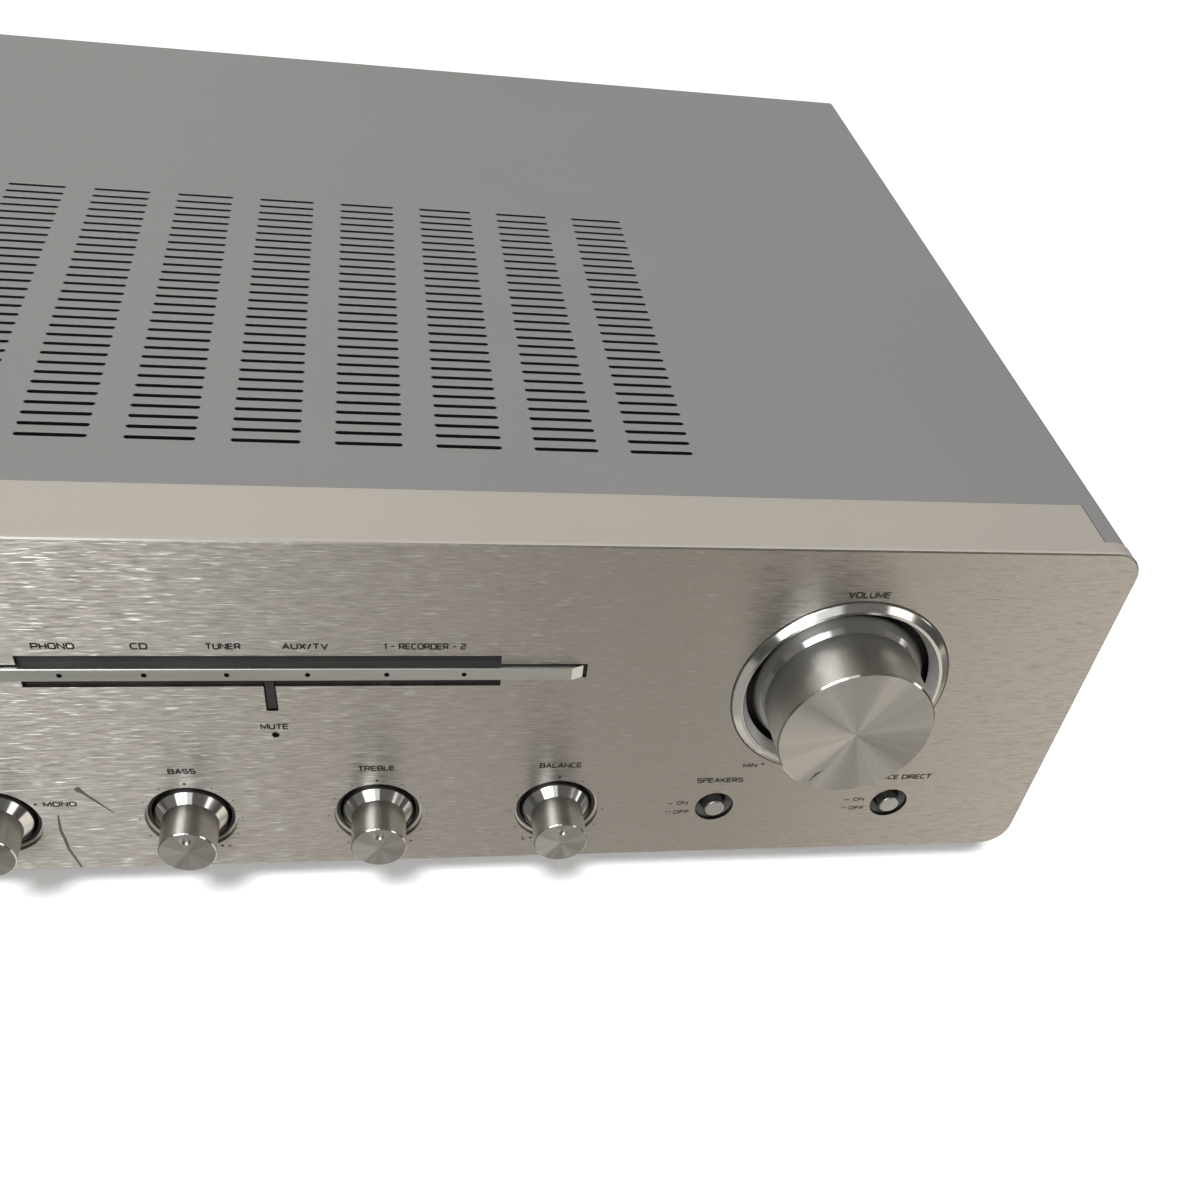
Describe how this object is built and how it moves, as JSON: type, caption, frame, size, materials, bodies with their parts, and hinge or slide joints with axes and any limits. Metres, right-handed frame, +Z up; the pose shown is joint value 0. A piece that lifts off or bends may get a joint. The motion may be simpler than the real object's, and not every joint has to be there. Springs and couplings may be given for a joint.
{
  "type": "integrated stereo amplifier",
  "caption": "Stereo amplifier in a low metal case with a brushed aluminium front, large volume and selector knobs, small tone knobs, push buttons, a vented cover and rear jacks.",
  "frame": {"origin": "centre of the bounding box at the level of the table the feet stand on", "axes": "+X to the right seen from the front, +Y from the front panel to the back, +Z up"},
  "size_m": [0.44, 0.35, 0.124],
  "materials": {
    "brushed_aluminium": "horizontal brushed grain, clear anodised",
    "champagne_paint": "smooth satin champagne paint",
    "turned_aluminium": "fine turned rings, satin anodised, bright chamfers",
    "bright_ring": "turned and polished bevel",
    "satin_bar": "fine satin anodised",
    "button_metal": "satin grey",
    "grey_paint": "fine-textured satin grey paint",
    "zinc_steel": "zinc-plated sheet",
    "rear_paint": "matt black paint",
    "screw_black": "black-plated",
    "screw_zinc": "zinc-plated",
    "black_plastic": "fine moulded texture",
    "funnel_plastic": "satin grey",
    "foot_plastic": "moulded, fine texture",
    "pad_rubber": "matt",
    "sensor_plastic": "dark red infrared window",
    "jack_plastic": "moulded",
    "plated_contacts": "nickel-plated",
    "cap_red": "moulded red",
    "cap_black": "moulded black",
    "ground_metal": "nickel-plated, knurled",
    "inlet_plastic": "moulded",
    "shaft_steel": "ground steel",
    "gear_plastic": "natural acetal",
    "control_body": "plated sheet over phenolic",
    "switch_plastic": "moulded",
    "board_green": "solder-masked laminate",
    "laminations": "stacked, varnished",
    "winding": "taped copper winding",
    "heat_sink": "extruded, black anodised",
    "device_black": "epoxy",
    "capacitor_sleeve": "shrink sleeve",
    "spacer_metal": "turned"
  },
  "bodies": {
    "chassis": {"ac_inlet": "inlet_plastic", "board_components": "device_black", "board_spacers": "spacer_metal", "button_bezels": "funnel_plastic", "button_switches": "switch_plastic", "case_screws": "screw_black", "chassis_tray": "zinc_steel", "feet": "foot_plastic", "filter_capacitors": "capacitor_sleeve", "foot_pads": "pad_rubber", "front_bezel": "champagne_paint", "front_panel": "brushed_aluminium", "headphone_jack": "black_plastic", "heat_sink": "heat_sink", "indicator_bar": "satin_bar", "indicator_board": "board_green", "indicator_channel": "black_plastic", "inner_front_plate": "zinc_steel", "inner_screws": "screw_zinc", "input_jack_block": "jack_plastic", "input_jack_shells": "plated_contacts", "knob_rings": "bright_ring", "knob_wells": "black_plastic", "main_board": "board_green", "power_transistors": "device_black", "rear_panel": "rear_paint", "remote_sensor": "sensor_plastic", "selector_switch": "control_body", "speaker_terminal_block": "black_plastic", "terminal_posts": "plated_contacts", "tone_board": "board_green", "tone_pots": "control_body", "top_cover": "grey_paint", "transformer_bracket": "zinc_steel", "transformer_core": "laminations", "transformer_winding": "winding", "volume_motor": "control_body", "volume_pot": "control_body"},
    "volume": {"volume_knob": "turned_aluminium", "volume_shaft": "shaft_steel", "volume_gear": "gear_plastic"},
    "motor": {"motor_pinion": "gear_plastic"},
    "selector": {"selector_knob": "turned_aluminium", "selector_shaft": "shaft_steel"},
    "mode": {"mode_knob": "turned_aluminium", "mode_shaft": "shaft_steel"},
    "bass": {"bass_knob": "turned_aluminium", "bass_shaft": "shaft_steel"},
    "treble": {"treble_knob": "turned_aluminium", "treble_shaft": "shaft_steel"},
    "balance": {"balance_knob": "turned_aluminium", "balance_shaft": "shaft_steel"},
    "power": {"power_button": "button_metal"},
    "speakers": {"speaker_button": "button_metal"},
    "direct": {"direct_button": "button_metal"},
    "cap_left_minus": {"speaker_cap_left_minus": "cap_black"},
    "cap_left_plus": {"speaker_cap_left_plus": "cap_red"},
    "cap_right_minus": {"speaker_cap_right_minus": "cap_black"},
    "cap_right_plus": {"speaker_cap_right_plus": "cap_red"},
    "ground_nut": {"ground_thumbscrew": "ground_metal"}
  },
  "joints": [
    {"name": "volume_turn", "type": "hinge", "parent": "chassis", "child": "volume", "pos_m": [0.14885, -0.1575, 0.0789], "axis": [0, 1, 0], "range_deg": [0, 300]},
    {"name": "motor_turn", "type": "hinge", "parent": "chassis", "child": "motor", "pos_m": [0.13277, -0.1195, 0.0789], "axis": [0, 1, 0], "range_deg": [-920, 20]},
    {"name": "selector_turn", "type": "hinge", "parent": "chassis", "child": "selector", "pos_m": [-0.14885, -0.1575, 0.0789], "axis": [0, 1, 0], "continuous": true},
    {"name": "mode_turn", "type": "hinge", "parent": "chassis", "child": "mode", "pos_m": [-0.075, -0.1575, 0.0339], "axis": [0, 1, 0], "range_deg": [0, 120]},
    {"name": "bass_turn", "type": "hinge", "parent": "chassis", "child": "bass", "pos_m": [-0.025, -0.1575, 0.0339], "axis": [0, 1, 0], "range_deg": [-150, 150]},
    {"name": "treble_turn", "type": "hinge", "parent": "chassis", "child": "treble", "pos_m": [0.025, -0.1575, 0.0339], "axis": [0, 1, 0], "range_deg": [-150, 150]},
    {"name": "balance_turn", "type": "hinge", "parent": "chassis", "child": "balance", "pos_m": [0.075, -0.1575, 0.0339], "axis": [0, 1, 0], "range_deg": [-150, 150]},
    {"name": "power_press", "type": "slide", "parent": "chassis", "child": "power", "axis": [0, 1, 0], "range_m": [0, 0.0025], "stiffness_N_per_m": 300},
    {"name": "speakers_press", "type": "slide", "parent": "chassis", "child": "speakers", "axis": [0, 1, 0], "range_m": [0, 0.0025], "stiffness_N_per_m": 300},
    {"name": "direct_press", "type": "slide", "parent": "chassis", "child": "direct", "axis": [0, 1, 0], "range_m": [0, 0.0025], "stiffness_N_per_m": 300},
    {"name": "cap_left_minus_turn", "type": "hinge", "parent": "chassis", "child": "cap_left_minus", "pos_m": [-0.062, 0.1675, 0.056], "axis": [0, 1, 0], "range_deg": [0, 1080]},
    {"name": "cap_left_plus_turn", "type": "hinge", "parent": "chassis", "child": "cap_left_plus", "pos_m": [-0.043, 0.1675, 0.056], "axis": [0, 1, 0], "range_deg": [0, 1080]},
    {"name": "cap_right_minus_turn", "type": "hinge", "parent": "chassis", "child": "cap_right_minus", "pos_m": [-0.017, 0.1675, 0.056], "axis": [0, 1, 0], "range_deg": [0, 1080]},
    {"name": "cap_right_plus_turn", "type": "hinge", "parent": "chassis", "child": "cap_right_plus", "pos_m": [0.002, 0.1675, 0.056], "axis": [0, 1, 0], "range_deg": [0, 1080]},
    {"name": "ground_turn", "type": "hinge", "parent": "chassis", "child": "ground_nut", "pos_m": [0.197, 0.1605, 0.069], "axis": [0, 1, 0], "range_deg": [0, 1080]}
  ],
  "couplings": [
    {"joint": "motor_turn", "follows": "volume_turn", "ratio": -3}
  ]
}
